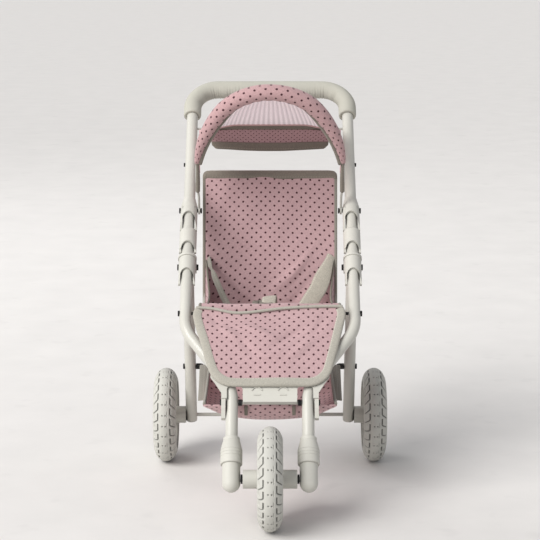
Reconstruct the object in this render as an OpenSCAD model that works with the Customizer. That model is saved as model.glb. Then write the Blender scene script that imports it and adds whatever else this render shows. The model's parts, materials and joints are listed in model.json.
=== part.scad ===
// Doll stroller: three-wheeled folding frame with a seat, leg panel, canopy and basket.
// Units are millimetres, +Z is up, +Y points to the rear and the origin is under the middle.

/* [Wheels] */
// Outer diameter of the three tyres
wheel_d = 159; // [150:1:165]
// Width of a tyre
tyre_w = 40; // [34:1:42]
// Half the distance between the rear wheels' middle planes
rear_wheel_x = 176.8; // [174:0.2:184]
// Distance from the front axle to the rear axle
wheelbase = 372.4; // [368:0.2:376]

/* [Frame] */
// Outer diameter of the frame tube
tube_d = 19; // [18.6:0.1:19.2]
// Wall thickness of the frame tube
tube_wall = 1.2; // [1:0.1:1.6]
// Half the distance between the two side tubes
frame_x = 133.7; // [132:0.1:135]
// Half the distance between the two fork legs
fork_x = 58.6; // [57:0.1:60]
// Slope of the side tubes above the floor
main_angle = 41; // [40.5:0.1:41.5]

/* [Handle] */
// Distance along the side tube from its bend to the handle's bar
grip_s = 521; // [505:1:530]
// Outer diameter of the foam grip
foam_d = 30.5; // [27:0.5:32]
// Radius of the handle's two corners
handle_bend_r = 45; // [42:1:50]

/* [Seat] */
// Half the width of the seat fabric
seat_half_w = 106.5; // [100:0.5:107]
// Thickness of the seat and panel fabric with its lining
fabric_t = 3; // [2:0.5:3]

/* [Canopy] */
// Tilt of the canopy hoop ahead of vertical
hoop_tilt = 25; // [22:1:27]
// Height of the hoop's top above its pivot, measured along the hoop
hoop_reach = 227.4; // [224:0.2:231]

/* [Hidden] */
$fn = 64;

// Colours of the materials
cream = [0.86, 0.85, 0.81];
tyre_cream = [0.89, 0.88, 0.85];
black = [0.08, 0.08, 0.08];
pink = [0.78, 0.55, 0.57];
binding_grey = [0.63, 0.60, 0.54];
steel = [0.7, 0.7, 0.7];

// Places are given as x, p behind the front axle and h above the floor
wheel_r = wheel_d / 2;
bend_p = 157;
bend_h = 275;
fork_top_p = 92.5;
fork_top_h = 196;
main_u = [cos(main_angle), sin(main_angle)];
main_n = [sin(main_angle), -cos(main_angle)];
grip_p = bend_p + grip_s * main_u[0];
middle_p = (grip_p + foam_d / 2 - wheel_r) / 2;
bore_d = tube_d + 0.1;
slide_bore_d = tube_d + 0.15;
pin_d = 6;
pin_bore_d = 6.1;
axle_d = 8;
axle_bore_d = 8.1;

// Stations along the side tube, measured from its bend
seat_bolt_s = 32;
housing_tip_s = 89;
housing_arch_s = 115;
housing_top_s = 141;
flange_top_s = 145;
sleeve_tip_s = 154.5;
sleeve_arch_s = 170.5;
sleeve_top_s = 199.5;
yoke_tip_s = 201;
yoke_arch_s = 233.6;
yoke_bolt_s = 244.7;
yoke_flare_s = 251;
handle_start_s = 258.2;
yoke_top_s = 268;
clip_s = 346;
canopy_wire_s = 428.4;
foam_start_s = 459;
casting_d = 28;
slot_w = 20.5;

// Pivot of the rear legs, behind and below the side tube
leg_s = 141.8;
leg_off = 21;
leg_top_p = bend_p + leg_s * main_u[0] + leg_off * main_n[0];
leg_top_h = bend_h + leg_s * main_u[1] + leg_off * main_n[1];
leg_axle_len = norm([wheelbase - leg_top_p, leg_top_h - wheel_r]);
leg_tilt = atan2(wheelbase - leg_top_p, leg_top_h - wheel_r);
leg_len = leg_axle_len + 8;
basket_bolt_len = 191;

// The fork legs' slope above the floor
fork_angle = atan2(fork_top_h - wheel_r, fork_top_p);

// The canopy's pivot is the yoke bolt
hoop_x = 120;
yoke_p = bend_p + yoke_bolt_s * main_u[0];
yoke_h = bend_h + yoke_bolt_s * main_u[1];

// ---------- places ----------

function at(x, p, h) = [x, p - middle_p, h];
function on_main(x, s, off = 0) =
  at(x, bend_p + s * main_u[0] + off * main_n[0], bend_h + s * main_u[1] + off * main_n[1]);
function unit(v) = v / norm(v);

// Children stand on the side tube's line: Z along the tube, Y towards its underside
module along_main(x) {
  translate(at(x, bend_p, bend_h)) rotate([main_angle - 90, 0, 0]) children();
}

// Children stand on a fork leg's line: Z up along the leg from the axle
module along_fork(x) {
  translate(at(x, 0, wheel_r)) rotate([fork_angle - 90, 0, 0]) children();
}

// Children stand on a rear leg's line: Z up along the leg, origin at its pivot
module along_leg(x) {
  translate(at(x, leg_top_p, leg_top_h)) rotate([leg_tilt, 0, 0]) children();
}

// Children lie in the hoop's plane: Y up along the hoop, origin at the pivot line
module in_hoop() {
  translate(at(0, yoke_p, yoke_h)) rotate([90 + hoop_tilt, 0, 0]) children();
}

// A cylinder along X, centred on the origin
module bar_x(d, len) {
  rotate([0, 90, 0]) cylinder(h = len, d = d, center = true);
}

// Both sides of the stroller get the same thing, mirrored
module both_sides() {
  children();
  mirror([1, 0, 0]) children();
}

// ---------- bent tubes ----------

join_len = 0.5;
join_step = 0.08;

// A straight rod between two points
module rod(a, b, d) {
  v = b - a;
  translate(a)
    rotate([0, acos(v[2] / norm(v)), atan2(v[1], v[0])])
      cylinder(h = norm(v), d = d);
}

// How far a bend of radius r reaches along each of its two straights
function reach(a, b, c, r) =
  let (turn = acos(unit(b - a) * unit(c - b)))
  r * tan(turn / 2);

// The arc that joins the straights a-b and b-c
module elbow(a, b, c, r, d) {
  u = unit(a - b);
  v = unit(c - b);
  turn = 180 - acos(u * v);
  start = b + u * reach(a, b, c, r);
  centre = b + unit(u + v) * r / cos(turn / 2);
  x = unit(start - centre);
  y = -u;
  z = cross(x, y);
  multmatrix([
    [x[0], y[0], z[0], centre[0]],
    [x[1], y[1], z[1], centre[1]],
    [x[2], y[2], z[2], centre[2]]
  ])
    rotate_extrude(angle = turn) translate([r, 0]) circle(d = d);
}

// A rod of diameter d through all the points, with bends of radius r.
// The straights are a hair thinner and end just inside the bends, so the two fuse cleanly.
module bent(points, r, d) {
  last = len(points) - 1;
  for (i = [0 : last - 1]) {
    a = points[i];
    b = points[i + 1];
    cut_a = i == 0 ? 0 : reach(points[i - 1], a, b, r) - join_len;
    cut_b = i == last - 1 ? 0 : reach(a, b, points[i + 2], r) - join_len;
    rod(a + unit(b - a) * cut_a, b - unit(b - a) * cut_b, d - join_step);
  }
  for (i = [1 : last - 1]) elbow(points[i - 1], points[i], points[i + 1], r, d);
}

// The same path with its two ends moved outward by e
function longer(points, e) =
  let (last = len(points) - 1)
  [for (i = [0 : last])
    i == 0 ? points[0] + unit(points[0] - points[1]) * e
    : i == last ? points[last] + unit(points[last] - points[last - 1]) * e
    : points[i]];

// A hollow tube through the points
module pipe(points, r, d, wall) {
  difference() {
    bent(points, r, d);
    bent(longer(points, 1), r, d - 2 * wall);
  }
}

// ---------- front frame ----------

front_bend_r = 60;
front_tube_end_s = 236;
fork_tube_end = 10;

module front_tube(side) {
  color(cream)
    difference() {
      pipe([
        on_main(side * frame_x, front_tube_end_s),
        at(side * frame_x, bend_p, bend_h),
        at(side * fork_x, fork_top_p, fork_top_h),
        at(side * fork_x, fork_tube_end * cos(fork_angle),
          wheel_r + fork_tube_end * sin(fork_angle))
      ], front_bend_r, tube_d, tube_wall);
      along_main(side * frame_x) translate([0, 0, seat_bolt_s]) bar_x(5.1, 30);
      along_fork(side * fork_x) translate([0, 0, footrest_rod_t]) bar_x(pin_bore_d, 30);
    }
}

// Rounded plugs that close the side tubes at the handle's hinge
module tube_top_plugs() {
  color(cream)
    both_sides() along_main(frame_x)
      difference() {
        union() {
          intersection() {
            translate([0, 0, front_tube_end_s]) cylinder(h = 20, d = tube_d);
            union() {
              translate([0, 0, yoke_bolt_s]) bar_x(tube_d, tube_d);
              translate([0, 0, (front_tube_end_s + yoke_bolt_s) / 2])
                cube([30, 30, yoke_bolt_s - front_tube_end_s], center = true);
            }
          }
          translate([0, 0, front_tube_end_s - 14])
            cylinder(h = 14, d = tube_d - 2 * tube_wall - 0.1);
        }
        translate([0, 0, yoke_bolt_s]) bar_x(pin_bore_d, 30);
      }
}

sleeve_low_t = 23;
sleeve_step_t = 46;
sleeve_collar_t = 60;
sleeve_high_t = 67;
sleeve_d = 33.6;
collar_d = 25.4;

// Moulded sleeve above the fork's end, with two shallow grooves
module fork_sleeve(side) {
  color(cream) along_fork(side * fork_x)
    rotate_extrude()
      difference() {
        polygon([
          [bore_d / 2, sleeve_low_t], [sleeve_d / 2 - 0.8, sleeve_low_t],
          [sleeve_d / 2, sleeve_low_t + 0.8], [sleeve_d / 2, sleeve_step_t],
          [collar_d / 2 + 0.8, sleeve_collar_t], [collar_d / 2, sleeve_collar_t + 1],
          [collar_d / 2, sleeve_high_t - 0.8], [collar_d / 2 - 0.8, sleeve_high_t],
          [bore_d / 2, sleeve_high_t]
        ]);
        for (t = [35, 40, 45]) translate([sleeve_d / 2, t]) circle(d = 0.9, $fn = 16);
      }
}

fork_end_d = 27.6;
fork_end_low_t = -7;

// Capsule at the bottom of the fork, bored for the tube and the axle
module fork_end(side) {
  color(cream)
    along_fork(side * fork_x)
      difference() {
        union() {
          translate([0, 0, fork_end_low_t])
            cylinder(h = sleeve_low_t - fork_end_low_t, d = fork_end_d);
          translate([0, 0, fork_end_low_t]) sphere(d = fork_end_d);
        }
        translate([0, 0, fork_tube_end - 0.3]) cylinder(h = 40, d = bore_d);
        translate([-side * 2, 0, 0]) bar_x(axle_bore_d, 22);
        translate([-side * 12, 0, 0]) bar_x(axle_bore_d, 10);
      }
}

front_axle_half = 66;
module front_axle() {
  color(steel) translate(at(0, 0, wheel_r)) bar_x(axle_d, 2 * front_axle_half);
}

front_hub_half = 41;
fork_face_x = fork_x - fork_end_d / 2;

// Black locknuts between the front hub and the fork
module front_axle_nuts() {
  nut_w = fork_face_x - front_hub_half - 0.8;
  color(black)
    both_sides() translate(at(front_hub_half + 0.4 + nut_w / 2, 0, wheel_r))
      difference() {
        rotate([0, 90, 0]) cylinder(h = nut_w, d = 15, center = true, $fn = 6);
        bar_x(axle_bore_d, nut_w + 2);
      }
}

// ---------- footrest ----------

footrest_rod_t = 125.5;
plate_off = -12.4;
plate_t = 2.5;
arm_x = 71.6;
arm_w = 6.4;
arm_low_t = 98;
arm_top_t = 128;
bush_w = 2.4;

// Outline of the moulded plate: X across, Y up along the fork
module footrest_outline() {
  difference() {
    polygon([
      [-74.8, 128], [74.8, 128], [74.8, 137], [84, 152], [92, 163], [92, 167],
      [-92, 167], [-92, 163], [-84, 152], [-74.8, 137]
    ]);
    for (side = [-1, 1]) {
      translate([side * 54.2 - 12.2, 120]) square([24.4, 22]);
      translate([side * 54.2 - 5.2, 130]) square([10.4, 19]);
      for (end = [-1, 1]) translate([side * 54.2 + end * 5.2, 142]) circle(r = 7);
    }
  }
  translate([-41.5, 123.5]) square([83, 6]);
}

// Moulded footrest that spans the fork, with an arm down each fork leg
module footrest() {
  color(cream) along_fork(0) {
    translate([0, plate_off + plate_t, 0]) rotate([90, 0, 0])
      linear_extrude(plate_t) footrest_outline();
    translate([-41.5, plate_off, 121.5]) cube([83, 10, 2.4]);
    for (side = [-1, 1]) {
      difference() {
        translate([side * arm_x - arm_w / 2, plate_off + plate_t - 0.5, 0])
          rotate([90, 0, 90])
            linear_extrude(arm_w)
              polygon([
                [0, arm_top_t], [0, 112], [6, arm_low_t], [15, arm_low_t], [15, 118],
                [9, arm_top_t]
              ]);
        translate([side * arm_x, 0, footrest_rod_t]) bar_x(pin_bore_d, 20);
      }
      // raised marks for the feet
      translate([side * 20, plate_off, 138]) rotate([90, 0, 0])
        linear_extrude(1.4)
          difference() {
            circle(d = 17);
            circle(d = 14.5);
            translate([-10, -10]) square([20, 12]);
          }
      translate([side * 20 - 5, plate_off - 1.4, 132.5]) cube([10, 1.8, 1.4]);
    }
  }
}

module footrest_rod() {
  color(steel) along_fork(0) translate([0, 0, footrest_rod_t])
    bar_x(pin_d, 2 * (arm_x + arm_w / 2 + bush_w));
}

// Black bushes on the footrest rod: inside each fork leg and outside each arm
module footrest_bushes() {
  color(black) both_sides() along_fork(fork_x)
    translate([0, 0, footrest_rod_t])
      difference() {
        union() {
          translate([-12.6, 0, 0]) bar_x(10, 5.6);
          translate([arm_x + (arm_w + bush_w) / 2 - fork_x, 0, 0]) bar_x(9, bush_w);
        }
        bar_x(pin_bore_d, 60);
        cylinder(h = 40, d = bore_d, center = true);
      }
}

// ---------- castings on the side tube ----------

// Side view of a casting: full width above low_s, two tongues that taper to tip_s
module tongue_outline(tip_s, low_s, top_s, tongue_w) {
  shoulder = casting_d / 2 - 1.5;
  polygon([
    [-casting_d, top_s + 1], [-casting_d, low_s], [-shoulder, low_s],
    [-tongue_w / 2, tip_s + tongue_w / 2], [-tongue_w / 4, tip_s],
    [tongue_w / 4, tip_s], [tongue_w / 2, tip_s + tongue_w / 2],
    [shoulder, low_s], [casting_d, low_s], [casting_d, top_s + 1]
  ]);
}

// Extrudes a side view across the tube
module across(w) {
  translate([-w / 2, 0, 0]) rotate([90, 0, 90]) linear_extrude(w) children();
}

// Arched window that leaves the two tongues standing, cut from Y = from to Y = to
module arch_window(tip_s, arch_s, from, to) {
  translate([-slot_w / 2, from, tip_s - 2])
    cube([slot_w, to - from, arch_s - slot_w / 2 - tip_s + 2]);
  translate([0, from, arch_s - slot_w / 2]) rotate([-90, 0, 0])
    cylinder(h = to - from, d = slot_w);
}

// Housing that holds the rear leg's pivot behind the side tube
module pivot_housing(side) {
  body_d = 27;
  cheek_r = 10;
  color(cream)
    along_main(side * frame_x)
      difference() {
        union() {
          intersection() {
            translate([0, 0, housing_tip_s])
              cylinder(h = housing_top_s - housing_tip_s, d = body_d);
            across(40) tongue_outline(housing_tip_s, housing_arch_s - slot_w / 2, housing_top_s, 9);
          }
          translate([0, 0, housing_top_s]) cylinder(h = flange_top_s - housing_top_s, d = 30);
          across(casting_d) {
            translate([leg_off, leg_s]) circle(r = cheek_r);
            polygon([
              [3, 118], [leg_off - 4, leg_s - cheek_r + 1], [leg_off + 6, leg_s - 8],
              [leg_off + 4, leg_s + 9], [3, flange_top_s]
            ]);
          }
        }
        translate([0, 0, housing_tip_s - 1]) cylinder(h = 80, d = bore_d);
        arch_window(housing_tip_s, housing_arch_s, -20, 20);
        // room for the leg between the two cheeks
        translate([-10.1, 11, 100]) cube([20.2, 60, 80]);
        translate([0, leg_off, leg_s]) bar_x(pin_bore_d, 40);
      }
}

// A black bolt along X with a low hexagon head at one end and a nut at the other
module cross_bolt(d, from, to, head_d, head_h) {
  translate([(from + to) / 2, 0, 0]) bar_x(d, to - from);
  translate([to, 0, 0]) rotate([0, 90, 0]) cylinder(h = head_h, d = head_d);
  translate([from - head_h, 0, 0]) rotate([0, 90, 0])
    cylinder(h = head_h, d = head_d + 0.6, $fn = 6);
}

module leg_pivot_bolts() {
  color(black)
    both_sides() along_main(frame_x) translate([0, leg_off, leg_s])
      cross_bolt(pin_d, -casting_d / 2, casting_d / 2, 10, 3.2);
}

// Bolts that hold the seat's rod to the side tubes
module seat_bolts() {
  color(black)
    both_sides() along_main(frame_x) translate([0, 0, seat_bolt_s])
      cross_bolt(5, -26.4, tube_d / 2, 9, 2.6);
}

// Sleeve that slides down the tube to free the handle's hinge
module lock_sleeve(side) {
  color(cream)
    along_main(side * frame_x)
      difference() {
        intersection() {
          rotate_extrude()
            polygon([
              [slide_bore_d / 2, sleeve_tip_s - 1], [casting_d / 2, sleeve_tip_s - 1],
              [casting_d / 2, sleeve_top_s - 3], [casting_d / 2 - 1.2, sleeve_top_s],
              [slide_bore_d / 2, sleeve_top_s]
            ]);
          across(40) tongue_outline(sleeve_tip_s, sleeve_arch_s - slot_w / 2, sleeve_top_s, 9);
        }
        arch_window(sleeve_tip_s, sleeve_arch_s, -20, 20);
      }
}

// Forked casting on the handle's end that turns on the yoke bolt
module yoke(side) {
  color(cream)
    along_main(side * frame_x)
      difference() {
        intersection() {
          rotate_extrude()
            polygon([
              [bore_d / 2, yoke_tip_s - 1], [casting_d / 2, yoke_tip_s - 1],
              [casting_d / 2, yoke_flare_s], [tube_d / 2 + 0.8, yoke_top_s],
              [bore_d / 2, yoke_top_s]
            ]);
          across(40) tongue_outline(yoke_tip_s, yoke_arch_s - slot_w / 2, yoke_top_s, 10);
        }
        arch_window(yoke_tip_s, yoke_arch_s, -20, 20);
        translate([-slot_w / 2, 0, yoke_tip_s]) cube([slot_w, 20, 258 - yoke_tip_s]);
        translate([0, 0, yoke_bolt_s]) bar_x(20.4, slot_w);
        translate([0, 0, yoke_bolt_s]) bar_x(pin_bore_d, 40);
      }
}

// Hinge bolts of the handle: they reach inward to carry the canopy hoop
module yoke_bolts() {
  color(black)
    both_sides() along_main(frame_x) translate([0, 0, yoke_bolt_s])
      cross_bolt(pin_d, -18.9, casting_d / 2, 9, 2.4);
}

// ---------- seat ----------

seat_front = [176, 305];
seat_crease = [352, 251];
seat_top = [400.6, 487];

// The side of the line from a to b that faces the doll
function inward(a, b) = let (v = unit(b - a)) [-v[1], v[0]];

module seat_fabric() {
  pan_side = inward(seat_front, seat_crease) * fabric_t / 2;
  back_side = inward(seat_crease, seat_top) * fabric_t / 2;
  corner = (pan_side + back_side) / (1 + pan_side * back_side / pow(fabric_t / 2, 2));
  color(pink)
    translate(at(-seat_half_w, 0, 0)) rotate([90, 0, 90])
      linear_extrude(2 * seat_half_w)
        polygon([
          seat_front + pan_side, seat_crease + corner, seat_top + back_side,
          seat_top - back_side, seat_crease - corner, seat_front - pan_side
        ]);
}

seat_rod_x = 110;
seat_rod_d = 5;

// Bent rod inside the seat's side bindings, with an eye at each bolt
module seat_rod() {
  start = on_main(-seat_rod_x, seat_bolt_s);
  finish = on_main(seat_rod_x, seat_bolt_s);
  color(steel)
    difference() {
      union() {
        bent([
          start + [0, 4, 0], at(-seat_rod_x, 350, 247.5), at(-seat_rod_x, 403.1, 492.5),
          at(seat_rod_x, 403.1, 492.5), at(seat_rod_x, 350, 247.5), finish + [0, 4, 0]
        ], 12, seat_rod_d);
        for (end = [start, finish]) translate(end) bar_x(11, seat_rod_d);
      }
      for (end = [start, finish]) translate(end) bar_x(5.1, 20);
    }
}

panel_len = 139;
panel_corner_w = 27;
panel_corner_h = 26;

// Half the panel's width at height v above its lower edge
function panel_half(v) =
  let (t = max(1 - v / panel_corner_h, 0))
  85 + 36 * pow(v / panel_len, 0.8) - panel_corner_w * (1 - sqrt(1 - t * t));

// Panel in front of the seat, sloping down to the footrest
module leg_panel() {
  panel_angle = 49.7;
  levels = [0, 1, 3, 6, 10, 15, 21, 28, 45, 65, 90, 115, panel_len];
  last = len(levels) - 1;
  color(pink)
    translate(at(0, 79.2, 203.7)) rotate([panel_angle, 0, 0])
      translate([0, 0, -fabric_t / 2])
        linear_extrude(fabric_t)
          polygon(concat(
            [for (v = levels) [panel_half(v), v]],
            [for (i = [0 : last]) [-panel_half(levels[last - i]), levels[last - i]]]
          ));
}

// A flat strap through the places, each with its own width
module strap(places, w, t) {
  for (i = [0 : len(places) - 2])
    hull()
      for (end = [places[i], places[i + 1]]) translate(end) cube([w, t, t], center = true);
}

module harness(side) {
  color(binding_grey)
    strap([
      at(side * 92, 361, 346), at(side * 60, 290, 300), at(side * 29, 252, 303)
    ], 22, 2);
}

module crotch_strap() {
  color(binding_grey) strap([at(0, 300, 272.5), at(0, 267, 298)], 20, 2);
}

module buckle() {
  color(binding_grey) translate(at(0, 253, 302)) cube([34, 22, 6], center = true);
}

// ---------- basket ----------

basket_half_w = 103;
basket_section = [
  [88, 172], [93, 158], [118, 142], [150, 132], [200, 122], [296, 119], [322, 138], [332, 174]
];
basket_inside = [
  [88, 178], [94.7, 159.3], [118.9, 143.8], [150.5, 133.9], [200.2, 124],
  [295.4, 121], [320.3, 139.2], [331, 178]
];

// Sewn basket, open at the top, slung between the footrest and the rear legs
module basket() {
  wall = 2;
  color(pink)
    difference() {
      translate(at(-basket_half_w, 0, 0)) rotate([90, 0, 90])
        linear_extrude(2 * basket_half_w) polygon(basket_section);
      translate(at(-basket_half_w + wall, 0, 0)) rotate([90, 0, 90])
        linear_extrude(2 * (basket_half_w - wall)) polygon(basket_inside);
    }
}

// ---------- handle and canopy ----------

module handle_path(start_s, d) {
  bent([
    on_main(-frame_x, start_s), on_main(-frame_x, grip_s),
    on_main(frame_x, grip_s), on_main(frame_x, start_s)
  ], handle_bend_r, d);
}

module handle_tube() {
  color(cream)
    difference() {
      handle_path(handle_start_s, tube_d);
      handle_path(handle_start_s - 1, tube_d - 2 * tube_wall);
      for (side = [-1, 1])
        along_main(side * frame_x) translate([0, 0, clip_s]) bar_x(4.1, 30);
    }
}

module grip_foam() {
  color(cream)
    difference() {
      handle_path(foam_start_s, foam_d);
      handle_path(foam_start_s - 1, bore_d);
    }
}

module canopy_rear_wire() {
  color(steel) translate(on_main(0, canopy_wire_s)) bar_x(4, 2 * frame_x - tube_d);
}

// Screws that hold the canopy's sides to the handle
module canopy_clips() {
  color(black)
    both_sides() along_main(frame_x) translate([0, 0, clip_s])
      cross_bolt(4, -tube_d / 2, tube_d / 2, 6.4, 2.2);
}

// The hoop is a large arc up each side and a smaller arc over the top
hoop_top_r = 100;
hoop_side_r = 190;
hoop_top_y = hoop_reach - hoop_top_r;
hoop_side_y = hoop_top_y
  - sqrt(pow(hoop_side_r - hoop_top_r, 2) - pow(hoop_side_r - hoop_x, 2));
hoop_join = atan2(hoop_top_y - hoop_side_y, hoop_side_r - hoop_x);
hoop_eye_x = 117;
hoop_bore_d = 6.4;

// Place on the hoop's plane at turn a around the arch, 0 at the right and 180 at the left
function hoop_point(a) =
  a < hoop_join
    ? [hoop_x - hoop_side_r + hoop_side_r * cos(a), hoop_side_y + hoop_side_r * sin(a)]
  : a > 180 - hoop_join
    ? [hoop_side_r - hoop_x + hoop_side_r * cos(a), hoop_side_y + hoop_side_r * sin(a)]
  : [hoop_top_r * cos(a), hoop_top_y + hoop_top_r * sin(a)];

// The same place in the stroller's own frame
function hoop_place(a) =
  let (q = hoop_point(a))
  at(q[0], yoke_p - q[1] * sin(hoop_tilt), yoke_h + q[1] * cos(hoop_tilt));

module hoop_arch(d, low_y) {
  lap = 0.3;
  translate([0, hoop_top_y, 0]) rotate([0, 0, hoop_join])
    rotate_extrude(angle = 180 - 2 * hoop_join) translate([hoop_top_r, 0]) circle(d = d);
  both_sides() {
    translate([hoop_x - hoop_side_r, hoop_side_y, 0])
      rotate_extrude(angle = hoop_join + lap) translate([hoop_side_r, 0])
        circle(d = d - join_step / 2);
    bent([
      [hoop_eye_x, low_y, 0], [hoop_eye_x, 28, 0], [hoop_x, 58, 0],
      [hoop_x, hoop_side_y + join_len, 0]
    ], 40, d - join_step / 2);
  }
}

module hoop_wire() {
  color(steel) in_hoop()
    difference() {
      union() {
        hoop_arch(4, 4);
        both_sides() translate([hoop_eye_x, 0, 0]) bar_x(12, 3);
      }
      both_sides() translate([hoop_eye_x, 0, 0]) bar_x(hoop_bore_d, 10);
    }
}

roll_rings = 44;
roll_sides = 12;
roll_start = 7;
roll_d = 24;
roll_end_d = 7;

// Diameter of the padded roll at turn a: thin at the ends and full over the top
function roll_size(a) =
  roll_end_d + (roll_d - roll_end_d) * pow(sin(min(a, 180 - a) > 50 ? 90
    : (min(a, 180 - a) - roll_start) * 90 / 43), 0.8);

// Padded roll sewn over the hoop
module hoop_roll() {
  turns = [for (i = [0 : roll_rings]) roll_start + i * (180 - 2 * roll_start) / roll_rings];
  points = [
    for (a = turns) for (j = [0 : roll_sides - 1])
      let (c = hoop_point(a))
      let (r = roll_size(a) / 2)
      let (b = j * 360 / roll_sides)
      [c[0] + r * cos(b) * cos(a), c[1] + r * cos(b) * sin(a), r * sin(b)]
  ];
  sides = [
    for (i = [0 : roll_rings - 1]) for (j = [0 : roll_sides - 1])
      let (k = (j + 1) % roll_sides)
      for (triangle = [
        [i * roll_sides + j, i * roll_sides + k, (i + 1) * roll_sides + k],
        [i * roll_sides + j, (i + 1) * roll_sides + k, (i + 1) * roll_sides + j]
      ]) triangle
  ];
  first = [for (j = [0 : roll_sides - 1]) roll_sides - 1 - j];
  last = [for (j = [0 : roll_sides - 1]) roll_rings * roll_sides + j];
  color(pink) in_hoop()
    difference() {
      polyhedron(points = points, faces = concat(sides, [first], [last]), convexity = 6);
      hoop_arch(4.2, 4);
    }
}

// A thin closed skin over a grid of places: rows of equal length, thickened by t
module skin(rows, t) {
  m = len(rows);
  n = len(rows[0]);
  count = m * n;
  outward = function(q) unit([q[0], 0, q[2] - 470]);
  upper = [for (row = rows) for (q = row) q + outward(q) * t / 2];
  lower = [for (row = rows) for (q = row) q - outward(q) * t / 2];
  top_faces = [
    for (i = [0 : m - 2]) for (j = [0 : n - 2])
      for (f = [
        [i * n + j, i * n + j + 1, (i + 1) * n + j + 1],
        [i * n + j, (i + 1) * n + j + 1, (i + 1) * n + j]
      ]) f
  ];
  bottom_faces = [for (f = top_faces) [f[2] + count, f[1] + count, f[0] + count]];
  rim = concat(
    [for (j = [0 : n - 1]) j],
    [for (i = [1 : m - 1]) i * n + n - 1],
    [for (j = [1 : n - 1]) (m - 1) * n + n - 1 - j],
    [for (i = [1 : m - 2]) (m - 1 - i) * n]
  );
  rim_faces = [
    for (k = [0 : len(rim) - 1])
      let (a = rim[k])
      let (b = rim[(k + 1) % len(rim)])
      for (f = [[a, a + count, b + count], [a, b + count, b]]) f
  ];
  polyhedron(
    points = concat(upper, lower),
    faces = concat(top_faces, bottom_faces, rim_faces),
    convexity = 6
  );
}

roof_rear_p = 470;
roof_rear_h = 560;

// Canopy roof from the hoop back to the rear wire
module canopy_roof() {
  turns = [for (i = [0 : 24]) 12 + i * 156 / 24];
  rows = [
    for (k = [0 : 6])
      let (v = 0.07 + k * 0.93 / 6)
      [for (a = turns)
        let (front = hoop_place(a) + [0, 6, -4])
        let (x = 112 * cos(a) / cos(12))
        let (rear = at(x, roof_rear_p, roof_rear_h + 8 * (1 - pow(x / 112, 4))))
        front * (1 - v) + rear * v]
  ];
  color(pink) skin(rows, 1.6);
}

// Short flap that hangs behind the rear wire
module canopy_flap() {
  color(pink) translate(at(-104, 472, 522)) cube([208, 1.6, 30]);
}

// ---------- rear frame ----------

module rear_leg(side) {
  color(cream)
    along_leg(side * frame_x)
      difference() {
        translate([0, 0, -leg_len]) cylinder(h = leg_len - 12, d = tube_d);
        translate([0, 0, -leg_len - 1]) cylinder(h = leg_len, d = tube_d - 2 * tube_wall);
        translate([0, 0, -leg_axle_len]) bar_x(pin_bore_d, 30);
        translate([0, 0, -basket_bolt_len]) bar_x(5.1, 30);
      }
}

// Rounded plugs in the tops of the legs, bored for the pivot bolts
module leg_top_plugs() {
  color(cream)
    both_sides() along_leg(frame_x)
      difference() {
        union() {
          intersection() {
            translate([0, 0, -12]) cylinder(h = 30, d = tube_d);
            union() {
              bar_x(tube_d, tube_d);
              translate([0, 0, -6]) cube([30, 30, 12], center = true);
            }
          }
          translate([0, 0, -24]) cylinder(h = 12, d = tube_d - 2 * tube_wall - 0.1);
        }
        bar_x(pin_bore_d, 30);
      }
}

// Plugs that close the bottoms of the legs
module leg_end_plugs() {
  color(cream)
    both_sides() along_leg(frame_x) {
      translate([0, 0, -leg_len - 2]) cylinder(h = 2, d = tube_d);
      translate([0, 0, -leg_len]) cylinder(h = 4, d = tube_d - 2 * tube_wall - 0.1);
    }
}

rear_axle_half = rear_wheel_x + 14;
module rear_axle() {
  color(steel) translate(at(0, wheelbase, wheel_r)) bar_x(pin_d, 2 * rear_axle_half);
}

// Bolts and spacers on the rear legs that carry the back of the basket
module basket_bolts() {
  color(black)
    both_sides() along_leg(frame_x) translate([0, 0, -basket_bolt_len]) {
      cross_bolt(5, -19, tube_d / 2, 9, 2.6);
      difference() {
        translate([-14.3, 0, 0]) bar_x(10, 9);
        cylinder(h = 20, d = tube_d, center = true);
      }
    }
}

// ---------- wheels ----------

rim_d = 116;
tyre_crown_h = 25;

// Tyre with a tall rounded crown, turning about X
module tyre(x, p) {
  base_r = wheel_r - tyre_crown_h;
  color(tyre_cream) translate(at(x, p, wheel_r)) rotate([0, 90, 0])
    rotate_extrude($fn = 96)
      polygon(concat(
        [[rim_d / 2, -tyre_w / 2 + 0.4]],
        [for (a = [-80 : 10 : 80]) [base_r + tyre_crown_h * cos(a), tyre_w / 2 * sin(a)]],
        [[rim_d / 2, tyre_w / 2 - 0.4]]
      ));
}

spokes = 6;

// Moulded rim: channel, six spokes and a hub from hub_low to hub_high along X
module rim(x, p, hub_low, hub_high, bore) {
  color(cream) translate(at(x, p, wheel_r)) rotate([0, 90, 0])
    difference() {
      union() {
        rotate_extrude($fn = 96)
          polygon([
            [50, -17], [rim_d / 2, -17], [rim_d / 2, 17], [50, 17], [50, 14], [53.5, 10],
            [53.5, -10], [50, -14]
          ]);
        for (i = [0 : spokes - 1]) rotate([0, 0, i * 360 / spokes])
          translate([10, -6, -6]) cube([44.5, 12, 12]);
        translate([0, 0, hub_low]) cylinder(h = hub_high - hub_low, d = 28.5);
      }
      for (i = [0 : spokes - 1]) rotate([0, 0, i * 360 / spokes])
        for (face = [-1, 1]) translate([20, -3, face * 5 - 1.5]) cube([26, 6, 3]);
      translate([0, 0, hub_low - 1]) cylinder(h = hub_high - hub_low + 2, d = bore);
    }
}

// Domed cap over the outer end of a rear hub
module hub_cap(side) {
  hub_end = 15.5;
  color(cream)
    translate(at(side * (rear_wheel_x + hub_end), wheelbase, wheel_r)) rotate([0, side * 90, 0])
      intersection() {
        cylinder(h = 4, d = 26);
        translate([0, 0, -22]) sphere(r = 26);
      }
}

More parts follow.
